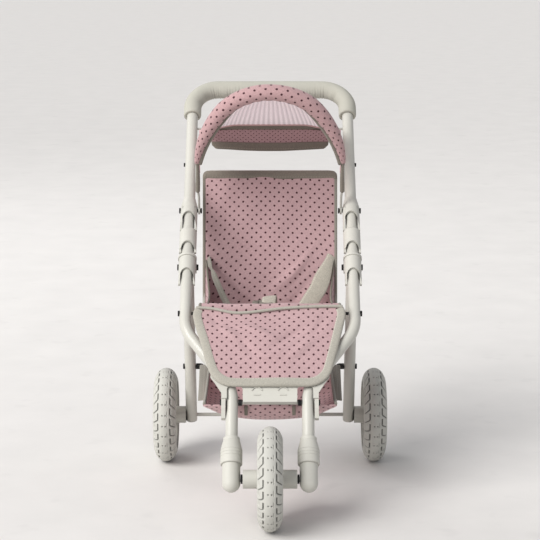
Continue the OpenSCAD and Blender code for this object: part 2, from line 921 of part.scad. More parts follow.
front_tube(-1);  // front_tube_left
front_tube(1);  // front_tube_right
tube_top_plugs();
fork_sleeve(-1);  // fork_sleeve_left
fork_sleeve(1);  // fork_sleeve_right
fork_end(-1);  // fork_end_left
fork_end(1);  // fork_end_right
front_axle();
front_axle_nuts();
footrest();
footrest_rod();
footrest_bushes();
pivot_housing(-1);  // pivot_housing_left
pivot_housing(1);  // pivot_housing_right
leg_pivot_bolts();
seat_bolts();
seat_rod();
seat_fabric();
leg_panel();
harness(-1);  // harness_left
harness(1);  // harness_right
crotch_strap();
buckle();
basket();
handle_tube();
grip_foam();
yoke(-1);  // yoke_left
yoke(1);  // yoke_right
yoke_bolts();
canopy_rear_wire();
canopy_clips();
canopy_roof();
canopy_flap();
hoop_wire();
hoop_roll();
lock_sleeve(-1);  // lock_sleeve_left
lock_sleeve(1);  // lock_sleeve_right
rear_leg(-1);  // rear_leg_left
rear_leg(1);  // rear_leg_right
leg_top_plugs();
leg_end_plugs();
rear_axle();
basket_bolts();
tyre(0, 0);  // front_tyre
rim(0, 0, -front_hub_half, front_hub_half, axle_bore_d);  // front_rim
tyre(-rear_wheel_x, wheelbase);  // rear_tyre_left
rim(-rear_wheel_x, wheelbase, -15.3, 33.6, pin_bore_d);  // rear_rim_left
hub_cap(-1);  // rear_cap_left
tyre(rear_wheel_x, wheelbase);  // rear_tyre_right
rim(rear_wheel_x, wheelbase, -33.6, 15.3, pin_bore_d);  // rear_rim_right
hub_cap(1);  // rear_cap_right
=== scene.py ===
import json
import math

import bpy
import numpy as np
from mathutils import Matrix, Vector


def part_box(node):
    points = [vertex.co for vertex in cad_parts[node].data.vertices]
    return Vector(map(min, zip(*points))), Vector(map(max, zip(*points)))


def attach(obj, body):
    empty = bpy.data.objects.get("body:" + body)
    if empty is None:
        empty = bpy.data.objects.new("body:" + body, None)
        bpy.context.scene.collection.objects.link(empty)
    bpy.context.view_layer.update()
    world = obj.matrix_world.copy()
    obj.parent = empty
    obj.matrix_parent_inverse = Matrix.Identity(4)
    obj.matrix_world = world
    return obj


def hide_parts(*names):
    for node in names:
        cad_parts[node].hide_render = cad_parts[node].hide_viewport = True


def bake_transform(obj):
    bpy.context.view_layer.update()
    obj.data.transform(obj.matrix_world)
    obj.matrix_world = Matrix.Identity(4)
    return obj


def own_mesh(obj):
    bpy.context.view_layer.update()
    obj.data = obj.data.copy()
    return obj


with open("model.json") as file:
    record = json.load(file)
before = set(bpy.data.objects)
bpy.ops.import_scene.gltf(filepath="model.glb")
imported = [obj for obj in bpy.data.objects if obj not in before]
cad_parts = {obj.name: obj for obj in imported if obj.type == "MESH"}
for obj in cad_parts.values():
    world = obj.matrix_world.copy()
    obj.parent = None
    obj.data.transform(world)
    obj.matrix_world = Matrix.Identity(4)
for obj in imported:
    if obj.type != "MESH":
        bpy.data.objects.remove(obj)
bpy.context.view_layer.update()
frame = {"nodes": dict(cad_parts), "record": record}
MM = 0.001
SIDES = (("left", -1), ("right", 1))
TUBE_R = 9.5 * MM


# ---------- places, worked out from the frame ----------

def centre(name):
    """The middle of a CAD node's box."""
    low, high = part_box(name)
    return (np.array(low) + np.array(high)) / 2


axle = centre("front_axle")
yoke = centre("yoke_bolts")
wheel_r = axle[2]
slope = math.radians(41)
along = np.array([0, math.cos(slope), math.sin(slope)])
under = np.array([0, math.sin(slope), -math.cos(slope)])
tube_x = centre("handle_tube")[0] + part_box("handle_tube")[1][0] - TUBE_R
hoop_tilt = math.radians(25)
hoop_up = np.array([0, -math.sin(hoop_tilt), math.cos(hoop_tilt)])
hoop_out = np.array([0, -math.cos(hoop_tilt), -math.sin(hoop_tilt)])


def at(x, p, h):
    """A place x across, p behind the front axle and h above the floor, all in mm."""
    return np.array([x * MM, axle[1] + p * MM, h * MM])


def on_tube(x, s, off=0):
    """A place on the side tube's line, s mm above the yoke bolt."""
    return np.array([x * MM, 0, 0]) + [0, yoke[1], yoke[2]] + along * s * MM + under * off * MM


def in_hoop(x, y, out=0):
    """A place in the hoop's plane, y mm from its pivot and out mm in front of the plane."""
    return np.array([x * MM, yoke[1], yoke[2]]) + hoop_up * y * MM + hoop_out * out * MM


# ---------- node helpers ----------

def node(tree, kind, inputs=None, **settings):
    """A shader node; each input is a socket to link or a value to set."""
    made = tree.nodes.new(kind)
    for key, value in settings.items():
        setattr(made, key, value)
    for key, value in (inputs or {}).items():
        if isinstance(value, bpy.types.NodeSocket):
            tree.links.new(value, made.inputs[key])
        else:
            made.inputs[key].default_value = value
    return made


def calc(tree, what, a, b=0.0, c=0.0):
    """One step of arithmetic."""
    return node(tree, "ShaderNodeMath", {0: a, 1: b, 2: c}, operation=what).outputs[0]


def mix(tree, amount, a, b):
    """Colour a where amount is 0 and colour b where it is 1."""
    made = node(tree, "ShaderNodeMix", data_type="RGBA")
    for socket, value in ((0, amount), (6, a), (7, b)):
        if isinstance(value, bpy.types.NodeSocket):
            tree.links.new(value, made.inputs[socket])
        else:
            made.inputs[socket].default_value = value
    return made.outputs[2]


def spread(tree, value, low, high, to_low=0.0, to_high=1.0):
    """The value's range from low to high, carried over to another range."""
    return node(tree, "ShaderNodeMapRange",
                {0: value, 1: low, 2: high, 3: to_low, 4: to_high}).outputs[0]


def noise(tree, where, scale, detail=3.0, rough=0.55):
    """Noise between 0 and 1."""
    return node(tree, "ShaderNodeTexNoise",
                {"Vector": where, "Scale": scale, "Detail": detail, "Roughness": rough}).outputs[0]


def stretched(tree, where, scale):
    """Coordinates scaled by their own amount on each axis."""
    return node(tree, "ShaderNodeMapping", {"Vector": where, "Scale": scale}).outputs[0]


def start_material(name, rough, specular=0.4, sheen=0.0, coat=0.0):
    """A new material with its tree and its shader."""
    made = bpy.data.materials.new(name)
    made.use_nodes = True
    tree = made.node_tree
    shader = tree.nodes["Principled BSDF"]
    shader.inputs["Roughness"].default_value = rough
    shader.inputs["Specular IOR Level"].default_value = specular
    shader.inputs["Sheen Weight"].default_value = sheen
    shader.inputs["Coat Weight"].default_value = coat
    return made, tree, shader


def shade(color, k):
    """The colour made k times as bright, with its alpha."""
    return (color[0] * k, color[1] * k, color[2] * k, 1)


# How far the ambient occlusion looks for nearby surfaces, in metres, for the painted shade where
# surfaces meet.
PAINTED_SHADE_REACH = 0.009


def hard_material(name, color, rough, grain, bump, specular=0.4, coat=0.0, dirt=0.1, painted_crevice_shade=0.0,
                  grooves=False):
    """Painted metal, moulded plastic or foam: grain, colour variation and uneven gloss.

    Where asked, painted shade darkens the colour where surfaces meet, found by ambient occlusion,
    and in the tyre's grooves, by the groove depth kept in the second UV coordinate.
    """
    made, tree, shader = start_material(name, rough, specular, coat=coat)
    where = node(tree, "ShaderNodeTexCoord").outputs["Object"]
    broad = noise(tree, where, 9, 4)
    fine = noise(tree, where, grain, 4, 0.65)
    speck = spread(tree, noise(tree, where, grain * 0.35, 2), 0.62, 0.75)
    base = mix(tree, spread(tree, broad, 0.3, 0.7), shade(color, 1 - dirt), shade(color, 1.03))
    base = mix(tree, calc(tree, "MULTIPLY", speck, 0.25), base, shade(color, 0.8))
    base = mix(tree, calc(tree, "MULTIPLY", fine, 0.12), base, shade(color, 0.86))
    # Painted shade: the colour darkens with the groove depth, standing for the shade inside the
    # grooves.
    if grooves:
        uv = node(tree, "ShaderNodeUVMap", uv_map="cloth").outputs[0]
        depth = node(tree, "ShaderNodeSeparateXYZ", {0: uv}).outputs[1]
        base = mix(tree, spread(tree, depth, 0.1, 0.9, 0.0, 0.8), base, shade(color, 0.3))
    # Painted shade: ambient occlusion darkens the colour where surfaces meet and in narrow gaps.
    if painted_crevice_shade:
        around = node(tree, "ShaderNodeAmbientOcclusion", {"Distance": PAINTED_SHADE_REACH}, samples=6)
        painted_shade_amount = spread(tree, around.outputs[1], 0.62, 0.2, 0.0, painted_crevice_shade)
        base = mix(tree, painted_shade_amount, base, shade(color, 0.16))
    tree.links.new(base, shader.inputs["Base Color"])
    tree.links.new(spread(tree, broad, 0.2, 0.8, rough - 0.06, rough + 0.1),
                   shader.inputs["Roughness"])
    height = calc(tree, "ADD", fine, calc(tree, "MULTIPLY", broad, 0.4))
    bumped = node(tree, "ShaderNodeBump", {"Height": height, "Strength": bump, "Distance": 0.0004})
    tree.links.new(bumped.outputs[0], shader.inputs["Normal"])
    return made


SLUBS_PER_M = 220
THREADS_PER_M = 1500
STITCH_STEP = 0.0042


def fabric_material(name, color, dot_color=None, pitch=15.0, dot_r=1.8, rough=0.9, thread=1.0,
                    stitch=None, sheen=0.15, painted_glow=0.0, blotch=0.1, pleat=None):
    """Woven cloth on UVs in metres: threads and slubs, with printed dots (pitch and radius in
    mm), a stitch line at a distance from the edge, or pleats of a given width, if asked.
    """
    made, tree, shader = start_material(name, rough, 0.2, sheen)
    shader.inputs["Sheen Roughness"].default_value = 0.6
    uv = node(tree, "ShaderNodeUVMap", uv_map="cloth").outputs[0]
    slub, fibre = SLUBS_PER_M * thread, THREADS_PER_M * thread
    warp = noise(tree, stretched(tree, uv, (slub, fibre, 1)), 1.0, 3)
    weft = noise(tree, stretched(tree, uv, (fibre, slub, 1)), 1.0, 3)
    weave = calc(tree, "ADD", warp, weft)
    broad = noise(tree, stretched(tree, uv, (14, 14, 1)), 1.0, 3)
    base = mix(tree, spread(tree, weave, 0.72, 1.28), shade(color, 0.8), shade(color, 1.2))
    base = mix(tree, calc(tree, "MULTIPLY", broad, blotch), base, shade(color, 0.7))
    split = node(tree, "ShaderNodeSeparateXYZ", {0: uv})
    # Painted shade: darker stripes along the pleats' folds.
    if pleat:
        turn = calc(tree, "MULTIPLY", split.outputs[0], 2 * math.pi / pleat)
        fold = spread(tree, calc(tree, "SINE", turn), -0.9, 0.7)
        base = mix(tree, fold, base, shade(color, 0.74))
    if dot_color:
        nearest = None
        for shift in (0.0, 0.5):
            away = []
            for i in (0, 1):
                cell = calc(tree, "MULTIPLY_ADD", split.outputs[i], 1 / (pitch * MM), 100 + shift)
                away.append(calc(tree, "SUBTRACT", calc(tree, "FRACT", cell), 0.5))
            square = calc(tree, "ADD", calc(tree, "MULTIPLY", away[0], away[0]),
                          calc(tree, "MULTIPLY", away[1], away[1]))
            nearest = square if nearest is None else calc(tree, "MINIMUM", nearest, square)
        distance = calc(tree, "SQRT", nearest)
        edge = calc(tree, "MULTIPLY_ADD", weave, 0.03, distance)
        inside = spread(tree, edge, dot_r / pitch + 0.04, dot_r / pitch + 0.015)
        base = mix(tree, inside, base, (*dot_color, 1))
    if stitch:
        run = calc(tree, "FRACT", calc(tree, "MULTIPLY", split.outputs[0], 1 / STITCH_STEP))
        dash = spread(tree, calc(tree, "ABSOLUTE", calc(tree, "SUBTRACT", run, 0.5)), 0.36, 0.3)
        off_line = calc(tree, "ABSOLUTE", calc(tree, "SUBTRACT", split.outputs[1], stitch))
        line = spread(tree, off_line, 0.0007, 0.0003)
        thread_mask = calc(tree, "MULTIPLY", dash, line)
        base = mix(tree, thread_mask, base, shade(color, 1.35))
        weave = calc(tree, "ADD", weave, calc(tree, "MULTIPLY", line, -0.6))
    tree.links.new(base, shader.inputs["Base Color"])
    # Painted light: the cloth glows by emission, standing in for light passing through thin cloth.
    if painted_glow:
        tree.links.new(base, shader.inputs["Emission Color"])
        shader.inputs["Emission Strength"].default_value = painted_glow
    bumped = node(tree, "ShaderNodeBump", {"Height": weave, "Strength": 0.35, "Distance": 0.0006})
    tree.links.new(bumped.outputs[0], shader.inputs["Normal"])
    return made


CREAM = (0.56, 0.55, 0.50)
PINK = (0.48, 0.32, 0.33)
PLUM = (0.055, 0.016, 0.022)
PLEAT = 0.0072

# The paint and the mouldings get painted shade where surfaces meet.
paint = hard_material("cream_paint", CREAM, 0.38, 900, 0.12, 0.5, coat=0.15, dirt=0.07,
                      painted_crevice_shade=0.8)
moulded = hard_material("cream_moulding", (0.57, 0.56, 0.51), 0.52, 1400, 0.25, dirt=0.08,
                        painted_crevice_shade=0.8)
rod_paint = hard_material("cream_rod", (0.45, 0.44, 0.40), 0.35, 1100, 0.15, 0.5, coat=0.1,
                          dirt=0.12)
black = hard_material("black_fastener", (0.008, 0.008, 0.009), 0.45, 1600, 0.3, 0.35, dirt=0.3)
foam = hard_material("handle_foam", (0.48, 0.47, 0.41), 0.8, 1900, 0.5, 0.25)
# The tyre foam gets painted shade in its grooves and where surfaces meet.
tyre_foam = hard_material("tyre_foam", (0.53, 0.525, 0.485), 0.72, 1500, 0.4, 0.3, dirt=0.09,
                          painted_crevice_shade=0.7, grooves=True)
buckle_plastic = hard_material("buckle_plastic", (0.2, 0.185, 0.16), 0.45, 1300, 0.2)
dotted = fabric_material("dotted_linen", PINK, PLUM)
dotted_roll = fabric_material("dotted_linen_roll", (0.48, 0.305, 0.31), PLUM, 16, 1.9)
# A lighter copy of the dotted linen that also glows: painted light on the basket's cloth.
dotted_low = fabric_material("dotted_linen_basket", (0.56, 0.37, 0.38), PLUM, painted_glow=0.06)
dotted_fine = fabric_material("dotted_linen_fine", (0.42, 0.27, 0.28), PLUM, 9, 1.0)
# The roof's side cloth is lighter, with paler dots, and glows: painted light shining through the
# thin cloth.
roof_side = fabric_material("roof_side_linen", (0.56, 0.36, 0.37), (0.27, 0.12, 0.14), 7, 0.8,
                            painted_glow=0.3)
# The pleated roof cloth glows: painted light shining through the thin voile; its pleats carry
# painted shade.
pleated = fabric_material("pleated_voile", (0.62, 0.535, 0.555), thread=1.4, painted_glow=0.58,
                          blotch=0.05, pleat=PLEAT)
piping_pink = fabric_material("pink_piping", (0.6, 0.38, 0.38), thread=1.5)
binding = fabric_material("grey_binding", (0.40, 0.38, 0.33), thread=1.3, stitch=0.0105)
# The dark grey-brown binding; on the hoop's hem, the flap's hem and the seat's left binding it
# stands for the grey binding in shade: painted shade.
binding_dark_and_painted_shade = fabric_material("grey_brown_binding_and_painted_shade", (0.20, 0.178, 0.148), thread=1.3,
                               stitch=0.008)
# A darker copy of the grey binding: painted shade for the basket's rims and straps, the left
# harness strap and the seat's right binding.
binding_painted_half_shade = fabric_material("grey_binding_painted_half_shade", (0.27, 0.255, 0.22), thread=1.3, stitch=0.008)
webbing = fabric_material("grey_webbing", (0.42, 0.395, 0.335), thread=0.7, stitch=0.0025)

node_materials = {
    "frame_paint": paint, "moulded_plastic": moulded, "steel_rod": rod_paint,
    "black_fastener": black, "foam": foam, "tyre_foam": tyre_foam,
    "buckle_plastic": buckle_plastic, "dotted_fabric": dotted, "canopy_fabric": pleated,
    "webbing": webbing,
}
for row in frame["record"]["subparts"]:
    mesh = frame["nodes"][row["node"]].data
    mesh.materials.clear()
    mesh.materials.append(node_materials[row["material_slot"]])


# ---------- mesh helpers ----------

def unit(v):
    """Vectors scaled to length 1."""
    v = np.asarray(v, float)
    return v / np.maximum(np.linalg.norm(v, axis=-1, keepdims=True), 1e-12)


def ease(x, low, high):
    """0 below low, 1 above high and a soft step between."""
    t = np.clip((np.asarray(x, float) - low) / (high - low), 0, 1)
    return t * t * (3 - 2 * t)


def ripple(x, seed):
    """A smooth irregular wave between about -1 and 1, the same at every run."""
    rng = np.random.default_rng(seed)
    total = np.zeros_like(np.asarray(x, float))
    for k in range(1, 6):
        total = total + np.sin(x * k * rng.uniform(0.7, 1.3) + rng.uniform(0, 6.28)) / k
    return total / 1.6


def grid_uv(across, down):
    """UVs for a grid: across holds one value a column, down one value a row, in metres."""
    return np.stack(np.broadcast_arrays(across[None, :], down[:, None]), axis=2)


def sheet_mesh(name, places, uv, material, body, thick=0.0, wrap=False, smooth=1):
    """A grid of places, rows by columns, as a mesh with its cloth UVs in metres."""
    rows, cols = places.shape[:2]
    last = cols if wrap else cols - 1
    faces = []
    face_uv = []
    for i in range(rows - 1):
        for j in range(last):
            k = (j + 1) % cols
            faces.append((i * cols + j, i * cols + k, (i + 1) * cols + k, (i + 1) * cols + j))
            after = uv[:, j] + (uv[:, 1] - uv[:, 0]) if wrap and k == 0 else uv[:, k]
            face_uv += [uv[i, j], after[i], after[i + 1], uv[i + 1, j]]
    mesh = bpy.data.meshes.new(name)
    mesh.from_pydata([tuple(v) for v in places.reshape(-1, 3)], [], faces)
    layer = mesh.uv_layers.new(name="cloth")
    layer.data.foreach_set("uv", np.array(face_uv, float).reshape(-1))
    mesh.polygons.foreach_set("use_smooth", [True] * len(mesh.polygons))
    mesh.materials.append(material)
    piece = bpy.data.objects.new(name, mesh)
    bpy.context.scene.collection.objects.link(piece)
    if thick:
        solid = piece.modifiers.new("thickness", "SOLIDIFY")
        solid.thickness = thick * MM
        solid.offset = 0
    if smooth:
        curved = piece.modifiers.new("smooth", "SUBSURF")
        curved.levels = smooth
        curved.render_levels = smooth
    if body:
        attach(piece, body)
    return piece


def declare(piece):
    """Evaluate the piece's mesh with its modifiers; nothing further is done with it.
    """
    graph = bpy.context.evaluated_depsgraph_get()
    shape = piece.evaluated_get(graph).data


def lengths(points):
    """Distance run along the points, from 0."""
    steps = np.linalg.norm(np.diff(points, axis=0), axis=1)
    return np.concatenate([[0], np.cumsum(steps)])


def resample(points, count):
    """Evenly spaced points along the same line."""
    points = np.asarray(points, float)
    run = lengths(points)
    to = np.linspace(0, run[-1], count)
    return np.stack([np.interp(to, run, points[:, i]) for i in range(3)], axis=1)


def smooth_path(points, count=60, passes=6):
    """A soft curve through about the points."""
    path = resample(points, count)
    for _ in range(passes):
        path[1:-1] = (path[:-2] + 2 * path[1:-1] + path[2:]) / 4
    return path


def tube_mesh(name, path, radius, material, body, normal, sides=16, flat=1.0, bump=None,
              closed=True):
    """A tube along a path that lies near a plane with this normal; radius in metres."""
    path = np.asarray(path, float)
    tangent = unit(np.gradient(path, axis=0))
    normal = unit(np.broadcast_to(normal, path.shape))
    side = unit(np.cross(tangent, normal))
    normal = unit(np.cross(side, tangent))
    radius = np.broadcast_to(radius, (len(path),))
    turn = np.linspace(0, 2 * math.pi, sides, endpoint=False)
    run = lengths(path)
    grow = np.ones((len(path), sides)) if bump is None else bump(run[:, None], turn[None, :])
    ring = (side[:, None, :] * np.cos(turn)[None, :, None]
            + normal[:, None, :] * np.sin(turn)[None, :, None] * flat)
    places = path[:, None, :] + ring * (radius[:, None] * grow)[:, :, None]
    uv = np.stack(np.broadcast_arrays(run[:, None], turn[None, :] * radius.max()), axis=2)
    if closed:
        start = [path[0] + ring[0] * (radius[0] * grow[0] * k)[:, None]
                 - tangent[0] * radius[0] * out for k, out in ((0.0, 0.2), (0.75, 0.12))]
        finish = [path[-1] + ring[-1] * (radius[-1] * grow[-1] * k)[:, None]
                  + tangent[-1] * radius[-1] * out for k, out in ((0.75, 0.12), (0.0, 0.2))]
        places = np.concatenate([start, places, finish])
        uv = np.concatenate([uv[:1], uv[:1], uv, uv[-1:], uv[-1:]])
    return sheet_mesh(name, places, uv, material, body, wrap=True, smooth=0)


def ribbon(name, path, across, width, material, body, thick=1.2, crown=0.0):
    """A flat band along a path; across points over its width, and crown bows it, in mm."""
    path = np.asarray(path, float)
    across = unit(np.broadcast_to(across, path.shape))
    width = np.broadcast_to(width, (len(path),)) * MM
    facing = unit(np.cross(unit(np.gradient(path, axis=0)), across))
    v = np.linspace(-0.5, 0.5, 7)
    places = (path[:, None, :] + across[:, None, :] * (v[None, :] * width[:, None])[:, :, None]
              + facing[:, None, :] * (crown * MM * (1 - (2 * v) ** 2))[None, :, None])
    run = lengths(path)
    uv = np.stack(np.broadcast_arrays(run[:, None], (v + 0.5)[None, :] * width[:, None]), axis=2)
    return sheet_mesh(name, places, uv, material, body, thick)


# ---------- tyres ----------

TREAD_BLOCKS = 27
STEPS_PER_BLOCK = 22
GROOVE_DEPTH = 2.6
LINE_AT = 10.0


def tyre(name, node_name, body):
    """Tyre with a tread of hooked grooves, centre dimples and scalloped shoulders."""
    middle = centre(node_name)
    turns = np.linspace(0, 2 * math.pi, TREAD_BLOCKS * STEPS_PER_BLOCK, endpoint=False)
    lean = np.radians(np.concatenate([np.linspace(-80, -62, 5), np.linspace(-60, 60, 71),
                                      np.linspace(62, 80, 5)]))
    w = np.concatenate([[-17.4, -18.6], 19.8 * np.sin(lean), [18.6, 17.4]])
    r = np.concatenate([[57.6, 57.4], 54.5 + 25 * np.cos(lean), [57.4, 57.6]])
    side = np.sign(w)[None, :]
    reach = np.abs(w)[None, :]
    block = turns / (2 * math.pi) * TREAD_BLOCKS
    phase = block[:, None]
    beat = (phase + 0.25 * side) % 1.0
    on_tread = ease(r, 62, 67)[None, :]
    line = (1 - ease(np.abs(reach - LINE_AT), 0.6, 1.3)) * ease(beat, 0.0, 0.08)
    line = line * (1 - ease(beat, 0.62, 0.72))
    slant = (beat - 0.68 - (reach - LINE_AT) * 0.042 + 0.5) % 1.0 - 0.5
    hook = (1 - ease(np.abs(slant), 0.035, 0.085)) * ease(reach, 9.2, 10.2)
    spot = phase % 1.0 - 0.5
    dimple = 1 - ease(np.hypot(spot * 17, reach - 2.6), 0.7, 1.5)
    dash = (1 - ease(np.abs(w - 5.4), 0.3, 0.9))[None, :] * ease(phase % 1.0, 0.1, 0.2)
    dash = dash * (1 - ease(phase % 1.0, 0.6, 0.7))
    groove = np.maximum(np.maximum(line, hook), np.maximum(0.7 * dimple, 0.4 * dash)) * on_tread
    knob = (0.5 - 0.5 * np.cos(2 * math.pi * beat)) * ease(reach, 14, 18) * on_tread
    radius = (r[None, :] - groove * GROOVE_DEPTH - knob * 1.7) * MM
    sink = hook * on_tread * ease(reach, 15, 19.5) * 1.4 + knob * 1.3
    x = (w[None, :] - side * sink) * MM
    places = np.stack([
        middle[0] + x,
        middle[1] + radius * np.cos(turns)[:, None],
        wheel_r + radius * np.sin(turns)[:, None],
    ], axis=2)
    places = np.concatenate([places, places[:1]])
    uv = np.zeros(places.shape[:2] + (2,))
    uv[:, :, 0] = np.linspace(0, 0.5, len(places))[:, None]
    # The second UV coordinate keeps the groove depth for the tyre's painted groove shade.
    uv[:, :, 1] = np.concatenate([groove, groove[:1]])
    piece = sheet_mesh(name, places, uv, tyre_foam, body, smooth=0)
    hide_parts(node_name)


tyre("front_tyre_tread", "front_tyre", "front_wheel")
tyre("rear_tyre_left_tread", "rear_tyre_left", "rear_wheel_left")
tyre("rear_tyre_right_tread", "rear_tyre_right", "rear_wheel_right")


# ---------- grip foam ----------

def rounded_u(half, bottom, top, r, count=240):
    """An upside-down U in 2D: up one side, round two corners and down the other."""
    points = [(-half, bottom)]
    points += [(-half + r - r * math.cos(a), top - r + r * math.sin(a))
               for a in np.linspace(0, math.pi / 2, 16)]
    points += [(half - r + r * math.sin(a), top - r + r * math.cos(a))
               for a in np.linspace(0, math.pi / 2, 16)]
    points += [(half, bottom)]
    return resample(np.array([(x, 0, y) for x, y in points]), count)


GRIP_START, GRIP_TOP, GRIP_CORNER, GRIP_R = 214.3, 276.3, 45.0, 15.25
GRIP_END_SECTION = ((14.2, -1.6), (14.5, 0.0), (13.9, 0.7), (12.5, 0.9), (9.6, 0.7), (9.6, -4))


def grip():
    """Foam sleeve over the handle, creased inside its two corners, with its turned-in ends."""
    flat = rounded_u(tube_x / MM, GRIP_START, GRIP_TOP, GRIP_CORNER)
    path = np.array([on_tube(q[0], q[2]) for q in flat])
    total = lengths(path)[-1]

    def creases(run, turn):
        from_end = np.minimum(run, total - run)
        at_corner = ease(from_end, 0.014, 0.03) * (1 - ease(from_end, 0.12, 0.17))
        inner = np.clip(-np.cos(turn), 0, 1) ** 1.2
        fold = np.abs(np.sin(run * 2 * math.pi / 0.0095 + 0.9 * np.sin(run * 130)))
        fold = (1 - fold) ** 3
        lip = ease(from_end, 0, 0.003)
        slow = 0.012 * ripple(run * 60 + turn, 3)
        return (0.955 + 0.035 * lip) * (1 + slow) - at_corner * inner * fold * 0.13

    piece = tube_mesh("grip_foam_skin", path, GRIP_R * MM, foam, "handle_frame", under, 40,
                      bump=creases, closed=False)
    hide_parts("grip_foam")
    turn = np.linspace(0, 2 * math.pi, 40, endpoint=False)
    ring = np.array([1.0, 0, 0]) * np.cos(turn)[:, None] + under * np.sin(turn)[:, None]
    ends = ((path[0], -unit(path[1] - path[0])), (path[-1], unit(path[-1] - path[-2])))
    for index, (place, away) in enumerate(ends):
        rows = [place + away * out * MM + ring * radius * MM for radius, out in GRIP_END_SECTION]
        places = np.array(rows)
        uv = np.zeros(places.shape[:2] + (2,))
        cap = sheet_mesh(f"grip_foam_end_{index}", places, uv, foam, "handle_frame", wrap=True,
                         smooth=0)


grip()


# ---------- canopy ----------

HOOP_X, TOP_R, SIDE_R, REACH = 120.0, 100.0, 190.0, 227.4
TOP_Y = REACH - TOP_R
SIDE_Y = TOP_Y - math.sqrt((SIDE_R - TOP_R) ** 2 - (SIDE_R - HOOP_X) ** 2)
JOIN = math.degrees(math.atan2(TOP_Y - SIDE_Y, SIDE_R - HOOP_X))


def hoop_point(a):
    """(x, y) in the hoop's plane at turn a degrees, 0 at the right side and 180 at the left."""
    c, s = math.cos(math.radians(a)), math.sin(math.radians(a))
    if a < JOIN:
        return HOOP_X - SIDE_R + SIDE_R * c, SIDE_Y + SIDE_R * s
    if a > 180 - JOIN:
        return SIDE_R - HOOP_X + SIDE_R * c, SIDE_Y + SIDE_R * s
    return TOP_R * c, TOP_Y + TOP_R * s


def roll_radius(a):
    """The padded roll's radius in mm: slim at its ends and full over the top."""
    rise = min(a, 180 - a)
    return (7 + 19.5 * math.sin(math.radians(90 if rise > 50 else (rise - 6) * 90 / 44)) ** 0.8) / 2


def hoop_roll():
    """Padded dotted roll over the hoop, with a soft seam and the creases of a bent tube."""
    turns = np.linspace(7, 173, 150)
    droop = [2.2 * math.sin(math.radians(a)) ** 2 for a in turns]
    path = np.array([in_hoop(hoop_point(a)[0], hoop_point(a)[1] - d)
                     for a, d in zip(turns, droop)])
    radius = np.array([roll_radius(a) for a in turns]) * MM

    def crease(run, turn):
        inner = np.clip(-np.cos(turn), 0, 1)
        fold = np.sin(run * 2 * math.pi / 0.021 + 2 * np.sin(run * 31))
        return 0.985 + 0.018 * ripple(run * 75 + turn * 0.6, 7) + 0.035 * inner * fold

    piece = tube_mesh("hoop_roll_skin", path, radius, dotted_roll, "canopy_hoop", hoop_out, 28,
                      bump=crease)
    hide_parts("hoop_roll")
    for name, low, high in (("left", 180 - 62, 180 - 6.5), ("right", 6.5, 62)):
        span = np.linspace(low, high, 50)
        inside = []
        for a in span:
            x, y = hoop_point(a)
            c, s = math.cos(math.radians(a)), math.sin(math.radians(a))
            inset = roll_radius(a) + 1.0
            inside.append(in_hoop(x - inset * c, y - inset * s, -1.5))
        size = 1.2 + 2.6 * ease(np.abs(span - 90), 32, 62)
        # The hem takes the dark binding: painted shade on the roll's shaded inner side.
        hem = tube_mesh(f"hoop_hem_{name}", np.array(inside), size * MM, binding_dark_and_painted_shade,
                        "canopy_hoop", hoop_out, 12, flat=1.5)
        declare(hem)


hoop_roll()

REAR_P, REAR_H = 475.0, 558.5
ROOF_HALF = 112
FLAP_COLUMNS = 80


def roof_rear(x):
    """The roof's rear edge: flat over the middle, lower towards the tubes."""
    drop = 9 * ease(abs(x), 55, ROOF_HALF)
    return at(x, REAR_P - 6 * (1 - ease(abs(x), 60, ROOF_HALF)), REAR_H + 6 - drop)


def roof_place(a, v):
    """A place on the roof: a degrees around the hoop and v of the way to the rear wire."""
    x, y = hoop_point(a)
    c, s = math.cos(math.radians(a)), math.sin(math.radians(a))
    inner = roll_radius(a) * 0.35
    front = in_hoop(x - inner * c, y - inner * s, -roll_radius(a) * 0.6)
    rear = roof_rear(ROOF_HALF * math.sin(min(max(1.3 * c, -1), 1) * math.pi / 2))
    bulge = np.array([0.25 * c, 0, s]) * 9 * MM * math.sin(math.pi * v)
    return front * (1 - v) + rear * v + bulge


def roof_panel(name, low, high, pleats, material, columns):
    """Part of the roof between two turns, pleated if asked."""
    turns = np.linspace(low, high, columns)
    to_rear = np.linspace(0.0, 1, 30)
    places = np.zeros((len(to_rear), columns, 3))
    for i, v in enumerate(to_rear):
        for j, a in enumerate(turns):
            places[i, j] = roof_place(a, v)
            if pleats:
                fold = math.sin(2 * math.pi * pleats * j / (columns - 1))
                depth = 1.3 * fold * float(1 - ease(v, 0.7, 0.97)) + 0.15 * fold
                places[i, j] += np.array([0.3 * math.cos(math.radians(a)), 0, 1]) * depth * MM
    width = np.linspace(0, pleats * PLEAT if pleats else lengths(places[0])[-1], columns)
    depth = lengths(places[:, columns // 2])
    piece = sheet_mesh(name, places, grid_uv(width, depth), material, None, 0.7,
                       smooth=0)
    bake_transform(piece)
    declare(piece)
    return piece


# The roof cloths glow: painted light through the thin cloth.
roof = roof_panel("roof_pleats", 38, 142, 46, pleated, 369)
roof_panel("roof_side_right", 6.5, 38, 0, roof_side, 40)
roof_panel("roof_side_left", 142, 173.5, 0, roof_side, 40)
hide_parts("canopy_roof")


def flap_rows(levels, half_top, half_low, ahead):
    """Rows of the hanging flap: levels run from 0 at its top to 1 at its sagging lower edge."""
    made = []
    for t in levels:
        half = half_top + (half_low - half_top) * t
        line = np.linspace(-half, half, FLAP_COLUMNS)
        sag = 4.5 * t * np.cos(line / half * math.pi / 2)
        wave = 1.2 * t * ripple(line / 22, 5)
        drop = 2 * (1 - t) * ease(np.abs(line), 60, 105)
        made.append(np.array([at(x, 471 + 3 * t + w + ahead, 556 - 33 * t - s - d)
                              for x, s, w, d in zip(line, sag, wave, drop)]))
    return np.array(made)


